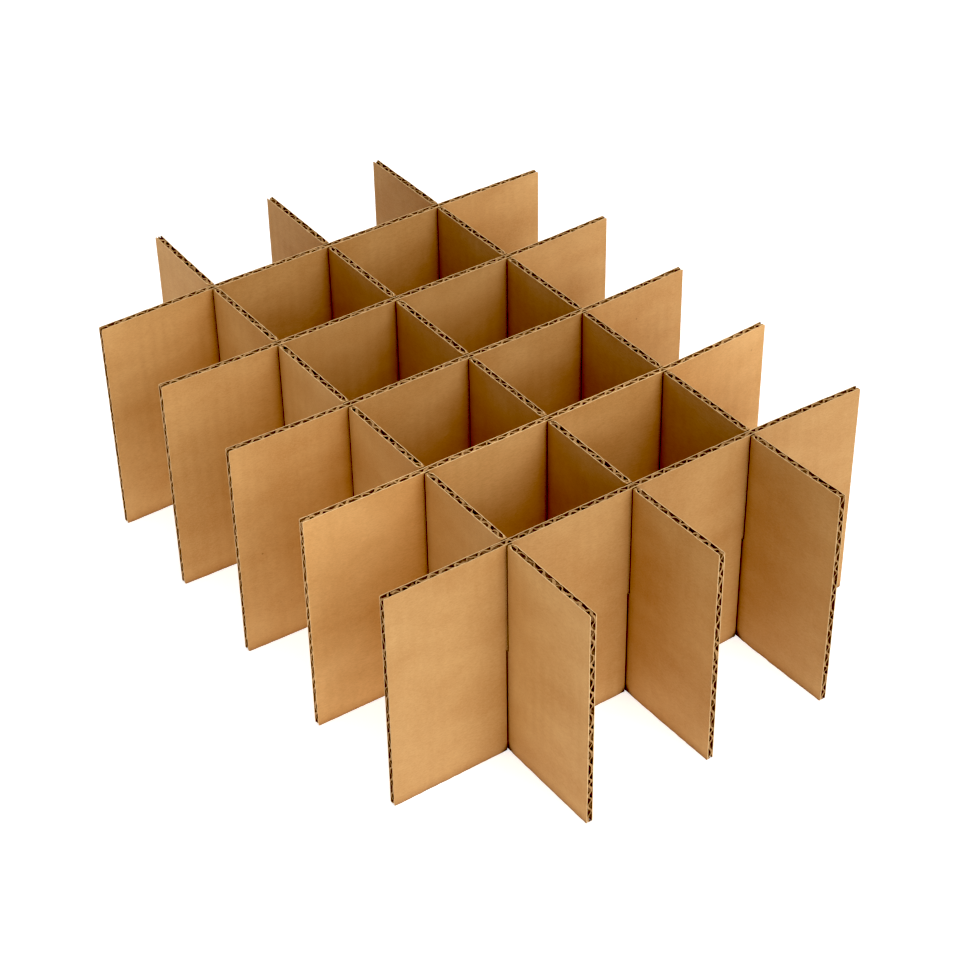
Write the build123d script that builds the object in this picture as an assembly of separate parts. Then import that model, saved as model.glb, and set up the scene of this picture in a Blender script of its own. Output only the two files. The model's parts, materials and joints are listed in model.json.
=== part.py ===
from build123d import *
import os

# Corrugated-board divider for a packing carton. Slotted strips stand on edge and cross at right angles,
# halved into one another, so that they part the carton into rows of upright cells.
# Millimetres. +X runs along the long strips, +Y along the cross strips, +Z is up.
# The origin is in the middle of the base, on the surface that the strips stand on.

# Driving dimensions of the grid
strip_height = 115.0
cross_count = 5
long_count = 3
cross_spacing = 61.0  # middle of one cross strip to the middle of the next, along X
long_spacing = 65.0  # middle of one long strip to the middle of the next, along Y
long_overhang = 58.0  # outermost cross strip's middle to the end of a long strip
cross_overhang = 61.5  # outermost long strip's middle to the end of a cross strip

# Driving dimensions of the single-wall B-flute board
board_thickness = 3.0
liner_thickness = 0.3
medium_thickness = 0.34  # measured through the board; the sheet itself is thinner where it slopes
flute_pitch = 6.4
crest_share = 0.2  # share of one flute's pitch that lies flat against each liner

# Slots, a loose fit on the crossing board
slot_width = 4.5
slot_overrun = 0.5  # how far past half height each slot is cut

# Sizes that follow
long_length = (cross_count - 1) * cross_spacing + 2 * long_overhang
cross_length = (long_count - 1) * long_spacing + 2 * cross_overhang
slot_depth = strip_height / 2 + slot_overrun
cavity = board_thickness - 2 * liner_thickness  # from liner to liner, where the fluting lies


def even_places(count, spacing):
    return [(number - (count - 1) / 2) * spacing for number in range(count)]


cross_places = even_places(cross_count, cross_spacing)
long_places = even_places(long_count, long_spacing)


# One flat facing sheet, lying in the XZ plane with its middle at the given Y
def liner_sheet(length, middle):
    return Pos(0, middle, strip_height / 2) * Box(length, liner_thickness, strip_height)


# The corrugated middle sheet: flat crests glued to each liner in turn, and sloping webs between them
def fluting_sheet(length):
    flute_count = round(length / flute_pitch)
    pitch = length / flute_count
    crest = crest_share * pitch
    low = -cavity / 2
    high = cavity / 2 - medium_thickness
    near_side = []
    for flute in range(flute_count):
        start = -length / 2 + flute * pitch
        near_side += [(start, low), (start + crest, low)]
        near_side += [(start + pitch / 2, high), (start + pitch / 2 + crest, high)]
    near_side.append((length / 2, low))
    far_side = [(along, across + medium_thickness) for along, across in reversed(near_side)]
    outline = make_face(Polyline(*near_side, *far_side, close=True))
    return extrude(outline, amount=strip_height, dir=(0, 0, 1))


# Cuts one slot at each crossing, down from the top edge or up from the bottom edge
def slotted(sheet, crossings, from_top):
    middle = strip_height - slot_depth / 2 if from_top else slot_depth / 2
    for along in crossings:
        sheet -= Pos(along, 0, middle) * Box(slot_width, 2 * board_thickness, slot_depth)
    return sheet


# The three glued plies of one strip, each its own solid, standing along X over the origin
def strip_plies(length, crossings, from_top):
    face = (board_thickness - liner_thickness) / 2
    plies = {
        "front_liner": liner_sheet(length, -face),
        "fluting": fluting_sheet(length),
        "back_liner": liner_sheet(length, face),
    }
    return {name: slotted(sheet, crossings, from_top) for name, sheet in plies.items()}


def write_strip(name, plies, place):
    for ply, sheet in plies.items():
        solid = (place * sheet).solid()
        solid.label = f"{name}_{ply}"
        export_step(solid, f"parts/{name}_{ply}.step")


os.makedirs("parts", exist_ok=True)

# Long strips are slotted from the top edge; their front liners face -Y
long_plies = strip_plies(long_length, cross_places, True)
for number, across in enumerate(long_places, 1):
    write_strip(f"long_strip_{number}", long_plies, Pos(0, across, 0))

# Cross strips are slotted from the bottom edge and turned a quarter turn; their front liners face +X
cross_plies = strip_plies(cross_length, long_places, False)
for number, along in enumerate(cross_places, 1):
    write_strip(f"cross_strip_{number}", cross_plies, Pos(along, 0, 0) * Rot(0, 0, 90))

print("divider", long_length, "x", cross_length, "x", strip_height, "mm")
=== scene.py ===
import bmesh
import bpy
import json
import math
from mathutils import Matrix, Vector, noise

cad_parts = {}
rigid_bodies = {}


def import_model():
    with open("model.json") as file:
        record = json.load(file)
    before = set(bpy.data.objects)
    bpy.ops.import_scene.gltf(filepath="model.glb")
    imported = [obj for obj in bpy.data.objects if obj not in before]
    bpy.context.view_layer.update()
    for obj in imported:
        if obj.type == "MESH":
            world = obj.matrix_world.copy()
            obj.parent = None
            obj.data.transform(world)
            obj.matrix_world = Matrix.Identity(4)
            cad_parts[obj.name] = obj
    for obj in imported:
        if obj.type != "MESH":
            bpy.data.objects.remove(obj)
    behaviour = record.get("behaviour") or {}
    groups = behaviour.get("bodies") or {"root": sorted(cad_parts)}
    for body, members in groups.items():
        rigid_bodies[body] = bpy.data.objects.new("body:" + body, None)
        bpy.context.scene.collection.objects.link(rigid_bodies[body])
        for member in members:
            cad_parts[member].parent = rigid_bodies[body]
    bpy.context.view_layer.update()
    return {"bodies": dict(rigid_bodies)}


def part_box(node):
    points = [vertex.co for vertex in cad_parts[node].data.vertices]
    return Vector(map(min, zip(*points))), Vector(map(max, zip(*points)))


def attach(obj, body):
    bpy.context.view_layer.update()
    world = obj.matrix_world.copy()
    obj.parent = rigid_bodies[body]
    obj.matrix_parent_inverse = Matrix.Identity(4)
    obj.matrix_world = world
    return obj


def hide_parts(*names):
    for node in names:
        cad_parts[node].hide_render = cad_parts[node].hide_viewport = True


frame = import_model()

mm = 0.001

# A divider of slotted corrugated strips: long strips along X, cross strips along Y.
# Every strip is three papers: a front liner, a wavy medium and a back liner.

# Single-wall B-flute board, in mm
board = {
    "linerThickness": 0.34,
    "mediumThickness": 0.28,
    "flutePitch": 6.4,
    "fluteDrift": 0.9,  # how far the waves stray from even spacing, in radians of the wave
    "driftLength": 30,
    "fluteFlatness": 1.7,  # higher gives flatter crests
    "washboard": 0.05,  # how far a liner sags between glue lines
    "glueGap": 0.08,  # between a crest and its liner
    "slotWidth": 4.5,
    "slotOverrun": 0.5,  # past the middle of the height
}
slotWidth = board["slotWidth"] * mm
slotOverrun = board["slotOverrun"] * mm


def smooth(x):
    x = min(1.0, max(0.0, x))
    return x * x * (3 - 2 * x)


# Repeatable noise along and up a sheet, from -1 to 1; the seed keeps the sheets apart
def wander(along, up, seed):
    return noise.noise(Vector((along, up, seed * 7.31 + 0.5)))


# The same noise in patches of the given length and height, in mm
def patches(along, up, size, seed):
    return wander(along / (size[0] * mm), up / (size[1] * mm), seed)


def readStrip(name, seed):
    low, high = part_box(name + "_front_liner")
    backLow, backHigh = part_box(name + "_back_liner")
    low = Vector(map(min, low, backLow))
    high = Vector(map(max, high, backHigh))
    runs = 0 if high.x - low.x > high.y - low.y else 1
    across = 1 - runs
    return {
        "name": name,
        "seed": seed,
        "runs": runs,
        "start": low[runs],
        "end": high[runs],
        "middle": (low[across] + high[across]) / 2,
        "thickness": high[across] - low[across],
        "height": high.z,
        "front": -1 if runs == 0 else 1,  # long strips' fronts face -Y, cross strips' fronts +X
    }


strips = [readStrip(name, seed) for seed, name in enumerate(sorted(frame["bodies"]), 1)]
longStrips = [strip for strip in strips if strip["runs"] == 0]
crossStrips = [strip for strip in strips if strip["runs"] == 1]
for strip in strips:
    others = crossStrips if strip["runs"] == 0 else longStrips
    strip["slots"] = sorted(other["middle"] for other in others)
    half = strip["height"] / 2
    # long strips are slotted from the top edge, cross strips from the bottom edge
    strip["fromTop"] = strip["runs"] == 0
    if strip["fromTop"]:
        strip["slotSpan"] = (half - slotOverrun, strip["height"])
    else:
        strip["slotSpan"] = (0.0, half + slotOverrun)
print("strips:", len(longStrips), "long and", len(crossStrips), "cross")


# How a strip stands once the divider has been handled, in mm
handling = {
    "sway": 0.08,  # slow bends over the whole strip
    "swayLength": 90.0,
    "twist": 0.4,  # how unevenly a bent end bends over its height
    "twistHeight": 120,
    "curlRise": 1.5,  # 1 bends an end evenly from its last slot, more keeps the bend near the tip
    # how far each strip's two free ends have bent, towards +X or +Y: first end, last end
    "endCurl": {
        "cross_strip_1": (1.0, 0.5),
        "cross_strip_2": (-1.5, -2.2),
        "cross_strip_3": (-1.5, -2.4),
        "cross_strip_4": (-0.8, -2.8),
        "cross_strip_5": (0.0, 1.5),
        "long_strip_1": (1.0, 0.4),
        "long_strip_2": (0.6, 1.2),
        "long_strip_3": (0.0, 1.4),
    },
}


def stripSway(strip, along, up):
    length = handling["swayLength"]
    bend = patches(along, up, (length, length), strip["seed"]) * handling["sway"]
    firstSlot, lastSlot = strip["slots"][0], strip["slots"][-1]
    firstCurl, lastCurl = handling["endCurl"][strip["name"]]
    twist = wander(0.3, up / (handling["twistHeight"] * mm), strip["seed"] + 0.4)
    twist = 1 + handling["twist"] * twist
    for reach, free, curl in ((firstSlot - along, firstSlot - strip["start"], firstCurl),
                              (along - lastSlot, strip["end"] - lastSlot, lastCurl)):
        if reach > 0:
            bend += twist * curl * (reach / free) ** handling["curlRise"]
    return bend * mm


def flutePhase(strip, along):
    drift = wander(along / (board["driftLength"] * mm), 0.2, strip["seed"] + 0.1)
    turn = 2 * math.pi * along / (board["flutePitch"] * mm)
    return turn + board["fluteDrift"] * drift + strip["seed"]


def flute(phase):
    flatness = board["fluteFlatness"]
    return math.tanh(flatness * math.sin(phase)) / math.tanh(flatness)


# Distance to the strip's nearer free end
def toCutEnd(strip, along):
    return min(along - strip["start"], strip["end"] - along)


# Distance to the side of the nearest slot, below zero inside it
def toSlot(strip, along):
    return min(abs(along - slot) for slot in strip["slots"]) - slotWidth / 2


# What the knife does to the liners at a cut edge, in mm
cutEdge = {
    "flare": 0.14,  # how far it spreads them
    "flareReach": 2.2,
    "flarePatch": (5, 5),
    "crossingClear": 2.5,  # the flare starts this far from the middle of a crossing
    "clearBlend": 3,
    "foldGap": 0.6,  # the folded patch beside a slot: how far off it starts, its length and depth
    "foldLength": 1.8,
    "foldDepth": 1.6,
    "foldThickness": 1.0,
    "corner": 0.6,  # radius of a free corner
    "cornerPatch": (40, 40),
    "nick": 0.30,  # depth of the small nicks along the top and bottom cuts
    "nickLength": 2.4,
    "uneven": 0.16,  # how much thinner or thicker the edge looks from place to place
    "unevenPatch": (1.9, 2.3),
}


def flareAt(strip, along, up):
    near = min(up, strip["height"] - up, toCutEnd(strip, along))
    spread = 1 - smooth(near / (cutEdge["flareReach"] * mm))
    uneven = 0.75 + 0.9 * patches(along, up, cutEdge["flarePatch"], strip["seed"] + 0.2)
    # none at a crossing, so that the strip still slides in its slots
    fromCrossing = toSlot(strip, along) + slotWidth / 2
    clear = smooth((fromCrossing - cutEdge["crossingClear"] * mm) / (cutEdge["clearBlend"] * mm))
    return clear * spread * uneven * cutEdge["flare"] * mm


# Closed, folded-over patch of a long strip's top edge beside each slot
def foldAt(strip, along, up):
    if not strip["fromTop"]:
        return 0.0
    fromSlot = toSlot(strip, along) - cutEdge["foldGap"] * mm
    besideSlot = 1 - smooth(fromSlot / (cutEdge["foldLength"] * mm))
    atTop = 1 - smooth((strip["height"] - up) / (cutEdge["foldDepth"] * mm))
    return besideSlot * atTop


# Moves a point near a strip's free corner onto a rounded corner
def roundCorner(strip, along, up):
    radius = cutEdge["corner"] * mm
    radius *= 1 + 0.5 * patches(along, up, cutEdge["cornerPatch"], strip["seed"])
    insideEnd = radius - toCutEnd(strip, along)
    insideEdge = radius - min(up, strip["height"] - up)
    if insideEnd <= 0 or insideEdge <= 0:
        return along, up
    shrink = max(insideEnd, insideEdge) / math.hypot(insideEnd, insideEdge)
    alongSign = 1 if along > (strip["start"] + strip["end"]) / 2 else -1
    upSign = 1 if up > strip["height"] / 2 else -1
    return along - alongSign * insideEnd * (1 - shrink), up - upSign * insideEdge * (1 - shrink)


def toWorld(strip, along, across, up):
    point = [0.0, 0.0, up]
    point[strip["runs"]] = along
    point[1 - strip["runs"]] = strip["middle"] + strip["front"] * across + stripSway(strip, along, up)
    return point


# Fixed stops with even steps no longer than the given step between them
def fillBetween(stops, step):
    stops = sorted(set(round(stop, 7) for stop in stops))
    filled = [stops[0]]
    for low, high in zip(stops, stops[1:]):
        count = max(1, math.ceil((high - low) / step - 0.001))
        filled += [low + (high - low) * part / count for part in range(1, count + 1)]
    return filled


def stopsNear(edge, inward, distances):
    return [edge + inward * distance * mm for distance in distances]


# Where a sheet's mesh is finer, in mm from a cut, and its steps elsewhere
meshStops = {
    "edge": (0, 0.35, 0.8, 1.5, 2.6, 4.0),
    "slot": (0, 0.6, 1.5, 2.6),
    "slotEnd": 1.5,
    "linerHeight": 6,
    "mediumHeight": 16,
    "endLength": 0.5,
    "endHeight": 1.1,
    "tear": 0.8,
}


def alongStops(strip, step):
    stops = stopsNear(strip["start"], 1, meshStops["edge"])
    stops += stopsNear(strip["end"], -1, meshStops["edge"])
    for slot in strip["slots"]:
        stops += stopsNear(slot - slotWidth / 2, -1, meshStops["slot"])
        stops += stopsNear(slot + slotWidth / 2, 1, meshStops["slot"])
    return fillBetween(stops, step)


def upStops(strip, step):
    stops = stopsNear(0, 1, meshStops["edge"])
    stops += stopsNear(strip["height"], -1, meshStops["edge"])
    slotEnd = strip["slotSpan"][0] if strip["fromTop"] else strip["slotSpan"][1]
    stops += [slotEnd, slotEnd - meshStops["slotEnd"] * mm, slotEnd + meshStops["slotEnd"] * mm]
    return fillBetween(stops, step)


def inSlot(strip, along, up):
    low, high = strip["slotSpan"]
    return toSlot(strip, along) < 0 and low < up < high


outerFace, innerFace, cutFace = 0, 1, 2
foldedOver = 0.35  # a cut edge folded more than this shows the outer face


# Sheets of paper with a thickness, cut where the slots are.
# place(along, up, side) gives a point on a sheet's outer (1) or inner (-1) face.
def paperSheet(sheets):
    vertices, faces, slots = [], [], []
    for strip, alongs, ups, place in sheets:
        columns, rows = len(alongs) - 1, len(ups) - 1
        kept = [[not inSlot(strip, (alongs[i] + alongs[i + 1]) / 2, (ups[j] + ups[j + 1]) / 2)
                 for j in range(rows)] for i in range(columns)]
        number = {}

        def corner(i, j, side):
            if (i, j, side) not in number:
                number[i, j, side] = len(vertices)
                vertices.append(place(alongs[i], ups[j], side))
            return number[i, j, side]

        def isKept(i, j):
            return 0 <= i < columns and 0 <= j < rows and kept[i][j]

        def wall(i0, j0, i1, j1):
            faces.append((corner(i0, j0, 1), corner(i0, j0, -1),
                          corner(i1, j1, -1), corner(i1, j1, 1)))
            folded = foldAt(strip, (alongs[i0] + alongs[i1]) / 2, (ups[j0] + ups[j1]) / 2)
            slots.append(outerFace if folded > foldedOver else cutFace)

        for i in range(columns):
            for j in range(rows):
                if not kept[i][j]:
                    continue
                ring = ((i, j), (i + 1, j), (i + 1, j + 1), (i, j + 1))
                faces.append(tuple(corner(a, b, 1) for a, b in ring))
                slots.append(outerFace)
                faces.append(tuple(corner(a, b, -1) for a, b in reversed(ring)))
                slots.append(innerFace)
                if not isKept(i, j - 1):
                    wall(i, j, i + 1, j)
                if not isKept(i + 1, j):
                    wall(i + 1, j, i + 1, j + 1)
                if not isKept(i, j + 1):
                    wall(i + 1, j + 1, i, j + 1)
                if not isKept(i - 1, j):
                    wall(i, j + 1, i, j)
    return vertices, faces, slots


# Painted light and shade: each strip's colour is scaled lighter or darker against the others, to stand
# in for how much light reaches it
paintedLightByStrip = {
    "cross_strip_1": 1.02,
    "cross_strip_2": 0.99,
    "cross_strip_3": 1.01,
    "cross_strip_4": 1.20,
    "cross_strip_5": 0.88,
    "long_strip_1": 0.92,
    "long_strip_2": 0.87,
    "long_strip_3": 0.80,
}


def makePiece(name, sheetData, materials, strip, node):
    vertices, faces, slots = sheetData
    mesh = bpy.data.meshes.new(name)
    mesh.from_pydata(vertices, [], faces)
    mesh.polygons.foreach_set("material_index", slots)
    mesh.polygons.foreach_set("use_smooth", [slot != cutFace for slot in slots])
    for material in materials:
        mesh.materials.append(material)
    mesh.validate()
    # painted light and shade: every point carries its strip's brightness factor
    shade = mesh.attributes.new("shade", "FLOAT", "POINT")
    shade.data.foreach_set("value", [paintedLightByStrip[strip["name"]]] * len(mesh.vertices))
    bm = bmesh.new()
    bm.from_mesh(mesh)
    bmesh.ops.recalc_face_normals(bm, faces=bm.faces)
    # crisp where a face meets the cut edge of the paper
    for edge in bm.edges:
        edge.smooth = len({face.material_index for face in edge.link_faces}) == 1
    bm.to_mesh(mesh)
    bm.free()
    piece = bpy.data.objects.new(name, mesh)
    bpy.context.scene.collection.objects.link(piece)
    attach(piece, strip["name"])
    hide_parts(node)
    return piece


# A point this near to a cut lies on it
onCut = 0.1 * mm


# Liner: a flat sheet that sags a little between its glue lines.
# face is 1 for the front liner and -1 for the back one.
def linerPlace(strip, face):
    half = strip["thickness"] / 2
    seed = strip["seed"] + (0.6 if face > 0 else 0.8)

    def place(along, up, side):
        sag = (0.5 - 0.5 * face * flute(flutePhase(strip, along))) * board["washboard"] * mm
        across = half - sag + flareAt(strip, along, up)
        if side < 0:
            uneven = patches(along, up, cutEdge["unevenPatch"], seed) * cutEdge["uneven"] * mm
            across -= board["linerThickness"] * mm + uneven
            across -= foldAt(strip, along, up) * cutEdge["foldThickness"] * mm
        newAlong, newUp = roundCorner(strip, along, up)
        for edge, inward in ((0.0, 1), (strip["height"], -1)):
            if abs(up - edge) < onCut:
                nick = wander(along / (cutEdge["nickLength"] * mm), edge * 50, seed + 0.3) - 0.05
                newUp += inward * max(0.0, nick) * cutEdge["nick"] * mm
        return toWorld(strip, newAlong, face * across, newUp)

    return place


# The wavy medium where it was cut, in mm
cutMedium = {
    "crushReach": 3.0,
    "topDrop": 0.35,  # how far the cut medium lies below the liners
    "dropLength": 2.1,
    "smear": 2.2,  # sideways drag of the waves at the cut, in radians of the wave
    "smearPatch": (2.6, 3),
    "flatten": 0.35,  # how much lower the waves are at the cut
    "flattenPatch": (4, 6),
    "crumple": 0.45,  # small folds at the cut, as a share of the wave
    "crumplePatch": (1.1, 4),
    "burr": 1.15,  # how much thicker the dragged and folded paper is at the cut, where it is thickest
    "burrPatch": (2.6, 4),
    "burrReach": 1.2,
    "foldClose": 0.85,  # how far the folded patch beside a slot presses the waves flat
    "endReach": 4.0,
    "endBite": 2.4,  # how deep the knife's folds go into a free end, and how far in they start
    "endBiteStart": 0.4,
    "endFoldPitch": 6.8,  # spacing of the folds in a cut flute at a free end
    "endFoldDrift": 3.0,
    "endFoldHeight": 7,
    "endFoldSwing": 0.9,
    "endDrop": 0.9,
    "endDropHeight": 2.6,
}


# Room for the wave's middle line on either side of the board's
def waveRoom(strip, along, up):
    paper = board["linerThickness"] + board["mediumThickness"] / 2 + board["glueGap"]
    return strip["thickness"] / 2 - paper * mm + flareAt(strip, along, up) - board["washboard"] * mm


def mediumPlace(strip, endPart):
    seed = strip["seed"] + 0.9

    def wave(along, up):
        fromEdge = min(up, strip["height"] - up)
        crush = 1 - smooth(fromEdge / (cutMedium["crushReach"] * mm))
        drag = patches(along, up, cutMedium["smearPatch"], seed) * cutMedium["smear"] * crush
        flattened = abs(patches(along, up, cutMedium["flattenPatch"], seed + 0.3))
        across = flute(flutePhase(strip, along) + drag) * (1 - cutMedium["flatten"] * crush * flattened)
        crumpled = patches(along, up, cutMedium["crumplePatch"], seed + 0.4)
        across += cutMedium["crumple"] * crush * crumpled
        across = min(1.0, max(-1.0, across))
        if endPart:
            fromBite = toCutEnd(strip, along) - cutMedium["endBiteStart"] * mm
            bite = 1 - smooth(fromBite / (cutMedium["endBite"] * mm))
            drift = wander(0.4, up / (cutMedium["endFoldHeight"] * mm), seed + 0.5)
            turn = 2 * math.pi * up / (cutMedium["endFoldPitch"] * mm)
            turn += cutMedium["endFoldDrift"] * drift
            across = across * (1 - bite) + bite * cutMedium["endFoldSwing"] * flute(turn)
        across *= 1 - cutMedium["foldClose"] * foldAt(strip, along, up)
        return across * waveRoom(strip, along, up)

    def place(along, up, side):
        step = 0.05 * mm
        slope = (wave(along + step, up) - wave(along - step, up)) / (2 * step)
        toCut = min(up, strip["height"] - up, toCutEnd(strip, along))
        nearCut = 1 - smooth(toCut / (cutMedium["burrReach"] * mm))
        folded = smooth(0.5 + 0.9 * patches(along, up, cutMedium["burrPatch"], seed + 0.2))
        burr = cutMedium["burr"] * nearCut * (0.2 + 0.8 * folded)
        half = (board["mediumThickness"] + burr) / 2 * mm
        lean = math.hypot(1, slope)
        newAlong = along - side * half * slope / lean
        across = wave(along, up) + side * half / lean
        room = waveRoom(strip, along, up) + board["mediumThickness"] / 2 * mm
        across = min(room, max(-room, across))
        newAlong = min(strip["end"], max(strip["start"], newAlong))
        newAlong, newUp = roundCorner(strip, newAlong, up)
        sink = 0.25 + 0.75 * abs(wander(along / (cutMedium["dropLength"] * mm), 0.7, seed + 0.6))
        if strip["height"] - up < onCut:
            newUp -= sink * cutMedium["topDrop"] * mm
        elif up < onCut:
            newUp += sink * cutMedium["topDrop"] * mm
        if toCutEnd(strip, along) < onCut:
            inward = 1 if along < 0 else -1
            drop = abs(wander(0.3, up / (cutMedium["endDropHeight"] * mm), seed + 0.7))
            newAlong += inward * sink * cutMedium["endDrop"] * mm * drop
        return toWorld(strip, newAlong, across, newUp)

    return place


# Torn tips of the medium, folded over between the liners, in mm
tornTips = {
    "length": 2.3,
    "top": 0.4,  # they reach from this far below the liners
    "depth": 3.2,
    "thickness": 0.15,
    "endShare": 0.5,  # the free ends are torn half as deep
}
tornWidth = 1 * mm  # the stops across a torn strip, from liner to liner, span this


# Along the top cut, or down a free end
def tornPlace(strip, topCut):
    seed = strip["seed"] + 0.3

    def place(along, up, side):
        over = (strip["height"] - up if topCut else toCutEnd(strip, along)) / tornWidth
        run = along if topCut else up
        patchy = wander(run / (tornTips["length"] * mm), over * 1.4, seed)
        reach = 1 if topCut else tornTips["endShare"]
        depth = tornTips["top"] + reach * tornTips["depth"] * smooth(0.46 + 1.4 * patchy)
        depth += 0.0 if side > 0 else tornTips["thickness"]
        if topCut:
            room = waveRoom(strip, along, strip["height"])
            return toWorld(strip, along, (2 * over - 1) * room, strip["height"] - depth * mm)
        edge, inward = (strip["start"], 1) if along < 0 else (strip["end"], -1)
        room = waveRoom(strip, edge, up)
        return toWorld(strip, edge + inward * depth * mm, (2 * over - 1) * room, up)

    return place


def mediumSheets(strip):
    reach = cutMedium["endReach"] * mm
    start, end, height = strip["start"], strip["end"], strip["height"]
    fluteStep = board["flutePitch"] * mm / 10
    middle = [stop for stop in alongStops(strip, fluteStep) if start + reach <= stop <= end - reach]
    tall = upStops(strip, meshStops["mediumHeight"] * mm)
    fine = upStops(strip, meshStops["endHeight"] * mm)
    # a hair apart from the middle part
    endLength = reach - 0.02 * mm
    first = fillBetween([start, start + endLength], meshStops["endLength"] * mm)
    last = fillBetween([end - endLength, end], meshStops["endLength"] * mm)
    step = meshStops["tear"] * mm
    rows = [tornWidth * part / 4 for part in range(5)]
    topStops = fillBetween([start + step, end - step] + middle, step)
    endStops = fillBetween([step, height - step], step)
    return [
        (strip, middle, tall, mediumPlace(strip, False)),
        (strip, first, fine, mediumPlace(strip, True)),
        (strip, last, fine, mediumPlace(strip, True)),
        (strip, topStops, [height - row for row in reversed(rows)], tornPlace(strip, True)),
        (strip, [start + row for row in rows], endStops, tornPlace(strip, False)),
        (strip, [end - row for row in reversed(rows)], endStops, tornPlace(strip, False)),
    ]


def srgb(hexValue):
    channels = [int(hexValue[i:i + 2], 16) / 255 for i in (1, 3, 5)]
    return [c / 12.92 if c <= 0.04045 else ((c + 0.055) / 1.055) ** 2.4 for c in channels] + [1.0]


def addNode(tree, kind, inputs=None, **settings):
    node = tree.nodes.new(kind)
    for name, value in settings.items():
        setattr(node, name, value)
    for name, value in (inputs or {}).items():
        if isinstance(value, bpy.types.NodeSocket):
            tree.links.new(value, node.inputs[name])
        else:
            node.inputs[name].default_value = value
    return node


# Unbleached kraft linerboard, pressed and dried on the machine: a matt tan sheet, slightly cloudy,
# with long wood fibres lying along it and a few specks of bark
kraftLiner = {
    "pale": "#d3a870",
    "tan": "#c2935c",
    "deep": "#a77843",
    "speck": "#6e4722",
    # painted shade: the near-black colour put in the gaps where boards cross, and how near another
    # surface must be to darken the face
    "paintedShade": "#1a0d05",  # where boards meet
    "paintedShadeReach": 5.5,  # mm
    "roughness": 0.78,
    "ior": 1.47,  # cellulose
    "cloudSize": 24.0,  # mm, cloudy formation of the paper
    "fibreLength": 1.8,  # mm
    "fibreWidth": 0.35,  # mm, drawn about ten times a real fibre so that it shows
    "fibreShow": 0.30,
    "grainSize": 0.7,  # mm, tufts of short fibres
    "grainShow": 0.34,
    "bandShow": 0.10,  # how much the glue lines show
    "bandPatch": 38,  # mm
    "speckSpacing": 21.0,  # mm
    "speckSize": 0.32,  # mm
    "fibreRelief": 0.03,  # mm
}
# Freshly cut kraft liner: paler and rougher than its face, because the cut fibres stand open
cutLiner = dict(kraftLiner, pale="#edcc9a", tan="#dfb882", deep="#bd9463", cloudSize=2.2,
                roughness=0.9)
# The liner's glued inner side: brown with starch, and darkened further as painted shade so that the
# flutes look deep
linerInside = dict(kraftLiner, pale="#7a5735", tan="#654728", deep="#50381f", cloudSize=3.0)
# Semichemical fluting medium: short fibres, greyer and darker than the liner
flutingMedium = dict(kraftLiner, pale="#85613d", tan="#6c4e30", deep="#543c24", cloudSize=3.0,
                     roughness=0.86)
# The medium's cut and crushed tips: brown with pale torn fibres
cutFluting = dict(kraftLiner, pale="#c29a68", tan="#9a7449", deep="#6e5033", cloudSize=1.8,
                  roughness=0.9)
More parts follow.
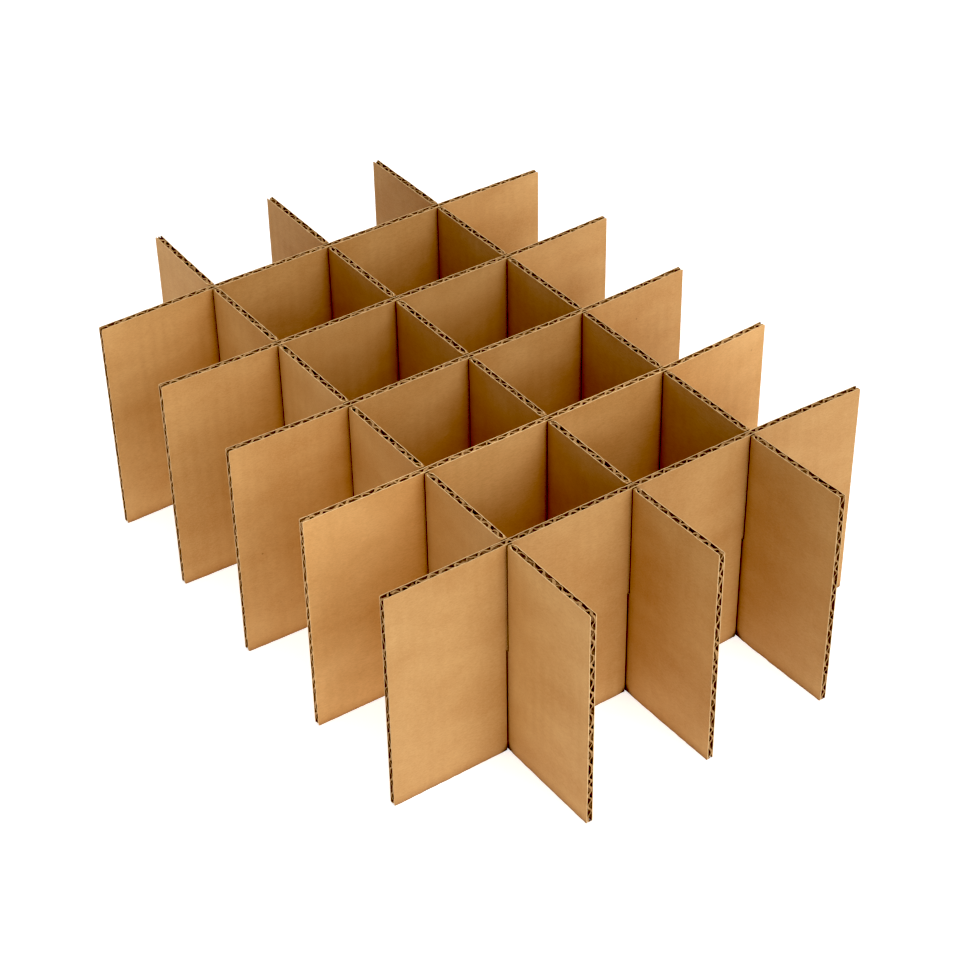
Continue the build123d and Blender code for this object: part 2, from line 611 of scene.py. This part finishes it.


# runs is the axis that the paper's fibres lie along.
# A liner's face also shows glue lines, specks and painted shade where boards cross.
def paperMaterial(name, look, runs, isFace):
    material = bpy.data.materials.new(name)
    material.use_nodes = True
    tree = material.node_tree
    tree.nodes.clear()
    output = addNode(tree, "ShaderNodeOutputMaterial")
    place = addNode(tree, "ShaderNodeTexCoord").outputs["Object"]
    # x along the strip, y through it, z up, in millimetres
    inMm = addNode(tree, "ShaderNodeMapping", {
        "Vector": place,
        "Rotation": (0, 0, 0) if runs == 0 else (0, 0, -math.pi / 2),
        "Scale": (1000, 1000, 1000),
    }).outputs["Vector"]

    # size in mm; the offset keeps the patterns apart
    def noiseAt(size, stretch, detail, offset):
        squeezed = addNode(tree, "ShaderNodeMapping", {
            "Vector": inMm,
            "Location": (offset, 0, offset),
            "Scale": (1 / (size * stretch), 1 / size, 1 / size),
        }).outputs["Vector"]
        return addNode(tree, "ShaderNodeTexNoise", {"Vector": squeezed, "Scale": 1.0, "Detail": detail,
                                                    "Roughness": 0.6}).outputs["Fac"]

    def spread(value, low, high, toLow, toHigh):
        return addNode(tree, "ShaderNodeMapRange", {
            "Value": value, "From Min": low, "From Max": high, "To Min": toLow, "To Max": toHigh,
        }).outputs["Result"]

    def blend(factor, first, second, mode="MIX"):
        # a colour mix has its factor at input 0 and its two colours at 6 and 7
        return addNode(tree, "ShaderNodeMix", {0: factor, 6: first, 7: second},
                       data_type="RGBA", blend_type=mode).outputs[2]

    clouds = noiseAt(look["cloudSize"], 1.6, 3.0, 3)
    fibres = noiseAt(look["fibreWidth"], look["fibreLength"] / look["fibreWidth"], 2.0, 11)
    grain = noiseAt(look["grainSize"], 1.0, 2.0, 29)
    colour = blend(spread(clouds, 0.3, 0.7, 0, 1), srgb(look["tan"]), srgb(look["pale"]))
    colour = blend(spread(fibres, 0.38, 0.66, 0, look["fibreShow"]), colour, srgb(look["deep"]))
    colour = blend(spread(grain, 0.42, 0.68, 0, look["grainShow"]), colour, srgb(look["pale"]))
    if isFace:
        # the glue lines of the flutes show through as faint upright bands
        along = addNode(tree, "ShaderNodeSeparateXYZ", {"Vector": inMm}).outputs["X"]
        turns = addNode(tree, "ShaderNodeMath", {0: along, 1: 2 * math.pi / board["flutePitch"]},
                        operation="MULTIPLY").outputs[0]
        ripple = addNode(tree, "ShaderNodeMath", {0: turns}, operation="SINE").outputs[0]
        faint = spread(noiseAt(look["bandPatch"], 0.5, 1.0, 41), 0.4, 0.65, 0.0, look["bandShow"])
        strength = addNode(tree, "ShaderNodeMath", {0: spread(ripple, -1, 1, 0, 1), 1: faint},
                           operation="MULTIPLY").outputs[0]
        colour = blend(strength, colour, srgb(look["deep"]))
        cells = addNode(tree, "ShaderNodeTexVoronoi",
                        {"Vector": inMm, "Scale": 1 / look["speckSpacing"]})
        speck = look["speckSize"] / look["speckSpacing"]
        dot = spread(cells.outputs["Distance"], speck, 1.8 * speck, 0.55, 0.0)
        colour = blend(dot, colour, srgb(look["speck"]))
    # painted light and shade: the colour is scaled by the strip's brightness factor
    shade = addNode(tree, "ShaderNodeAttribute", attribute_name="shade").outputs["Fac"]
    colour = addNode(tree, "ShaderNodeVectorMath", {0: colour, "Scale": shade},
                     operation="SCALE").outputs[0]
    if isFace:
        # painted shade: ambient occlusion darkens the face towards deep brown in the corners where
        # boards meet, and to near black in the narrow gap where two boards cross
        paintedShadeMask = addNode(tree, "ShaderNodeAmbientOcclusion", {"Distance": look["paintedShadeReach"] * mm},
                          samples=12).outputs["AO"]
        colour = blend(spread(paintedShadeMask, 0.50, 1.0, 0.36, 0.0), colour, srgb(look["deep"]), "MULTIPLY")
        colour = blend(spread(paintedShadeMask, 0.45, 0.58, 0.98, 0.0), colour, srgb(look["paintedShade"]))
    height = addNode(tree, "ShaderNodeMath", {0: fibres, 1: grain}, operation="ADD").outputs[0]
    bump = addNode(tree, "ShaderNodeBump", {"Height": height, "Strength": 0.25,
                                            "Distance": look["fibreRelief"] * mm}).outputs["Normal"]
    shader = addNode(tree, "ShaderNodeBsdfPrincipled", {
        "Base Color": colour,
        "Roughness": look["roughness"],
        "IOR": look["ior"],
        "Normal": bump,
    })
    tree.links.new(shader.outputs["BSDF"], output.inputs["Surface"])
    return material


papers = {}
for runs, wording in ((0, "long strips"), (1, "cross strips")):
    papers[runs] = {
        "face": paperMaterial("kraft linerboard, " + wording, kraftLiner, runs, True),
        "inside": paperMaterial("kraft linerboard inner side, " + wording, linerInside, runs, False),
        "cut": paperMaterial("cut linerboard edge, " + wording, cutLiner, runs, False),
        "medium": paperMaterial("fluting medium, " + wording, flutingMedium, runs, False),
        "mediumCut": paperMaterial("cut fluting edge, " + wording, cutFluting, runs, False),
    }
print("papers:", ", ".join(papers[0]))

for strip in strips:
    paper = papers[strip["runs"]]
    lengthStops = alongStops(strip, board["flutePitch"] * mm / 4)
    heightStops = upStops(strip, meshStops["linerHeight"] * mm)
    for face, ply in ((1, "front_liner"), (-1, "back_liner")):
        node = strip["name"] + "_" + ply
        sheet = paperSheet([(strip, lengthStops, heightStops, linerPlace(strip, face))])
        makePiece(node + "_paper", sheet, (paper["face"], paper["inside"], paper["cut"]),
                  strip, node)
    node = strip["name"] + "_fluting"
    makePiece(node + "_paper", paperSheet(mediumSheets(strip)),
              (paper["medium"], paper["medium"], paper["mediumCut"]), strip, node)
    print("built", strip["name"])

studio = {
    "floorSize": 12.0,  # m
    "floor": "#f7f6f4",
    "floorRoughness": 0.9,
    "floorGlow": 0.55,  # lit from below, so that the sweep stays white around the divider
    "skyStrength": 0.60,
    "blackLevel": (0.030, 0.040, 0.035),  # red, green and blue: keeps the shadows in the cells deep
    "aim": (0, 0, 0.05),
}
# Each softbox: where it stands and how wide it is, in metres, and its power in watts
softboxes = {
    "sideSoftbox": {"place": (1.7, 0.2, 1.0), "size": 1.2, "power": 12.6},
    "topSoftbox": {"place": (0.3, 0.2, 2.0), "size": 1.6, "power": 16.0},
}
scene = bpy.context.scene

floorMesh = bpy.data.meshes.new("studioFloor")
reach = studio["floorSize"] / 2
floorMesh.from_pydata([(-reach, -reach, 0), (reach, -reach, 0), (reach, reach, 0), (-reach, reach, 0)],
                      [], [(0, 1, 2, 3)])
floor = bpy.data.objects.new("studioFloor", floorMesh)
scene.collection.objects.link(floor)
# Matt white background paper: an even white with no reflections, and only a soft shadow on it
sweep = bpy.data.materials.new("white paper sweep")
sweep.use_nodes = True
sweepSockets = sweep.node_tree.nodes["Principled BSDF"].inputs
sweepSockets["Base Color"].default_value = srgb(studio["floor"])
sweepSockets["Roughness"].default_value = studio["floorRoughness"]
sweepSockets["Emission Color"].default_value = (1, 1, 1, 1)
sweepSockets["Emission Strength"].default_value = studio["floorGlow"]
floorMesh.materials.append(sweep)

scene.view_settings.view_transform = "Standard"
scene.view_settings.use_curve_mapping = True
scene.view_settings.curve_mapping.black_level = studio["blackLevel"]
scene.view_settings.curve_mapping.update()
world = bpy.data.worlds.new("studio")
world.use_nodes = True
world.node_tree.nodes["Background"].inputs["Color"].default_value = (1, 1, 1, 1)
world.node_tree.nodes["Background"].inputs["Strength"].default_value = studio["skyStrength"]
scene.world = world

for name, softbox in softboxes.items():
    light = bpy.data.lights.new(name, "AREA")
    light.shape = "DISK"
    light.size = softbox["size"]
    light.energy = softbox["power"]
    lamp = bpy.data.objects.new(name, light)
    lamp.location = softbox["place"]
    lamp.rotation_euler = (Vector(studio["aim"]) - lamp.location).to_track_quat("-Z", "Y").to_euler()
    scene.collection.objects.link(lamp)
print("floor and softboxes placed")

shot = {
    "azimuth": 55.84,  # degrees from looking along +Y, turned towards +X
    "elevation": 36.89,
    "roll": -1.15,
    "distance": 1.0785,
    "target": (0.0076, -0.0003, 0.0485),
    "lens": 85.35,  # mm, on a 36 mm sensor
}


def placeCamera():
    azimuth, elevation, roll = (math.radians(shot[key]) for key in ("azimuth", "elevation", "roll"))
    ahead = Vector((-math.sin(azimuth) * math.cos(elevation), math.cos(azimuth) * math.cos(elevation),
                    -math.sin(elevation)))
    right = Vector((math.cos(azimuth), math.sin(azimuth), 0))
    up = right.cross(ahead)
    right, up = (right * math.cos(roll) + up * math.sin(roll),
                 up * math.cos(roll) - right * math.sin(roll))
    data = bpy.data.cameras.new("camera")
    data.lens = shot["lens"]
    data.sensor_width = 36
    data.clip_start = 0.01
    camera = bpy.data.objects.new("camera", data)
    place = Vector(shot["target"]) - ahead * shot["distance"]
    turned = Matrix((right, up, -ahead)).transposed().to_4x4()
    camera.matrix_world = Matrix.Translation(place) @ turned
    scene.collection.objects.link(camera)
    scene.camera = camera


placeCamera()
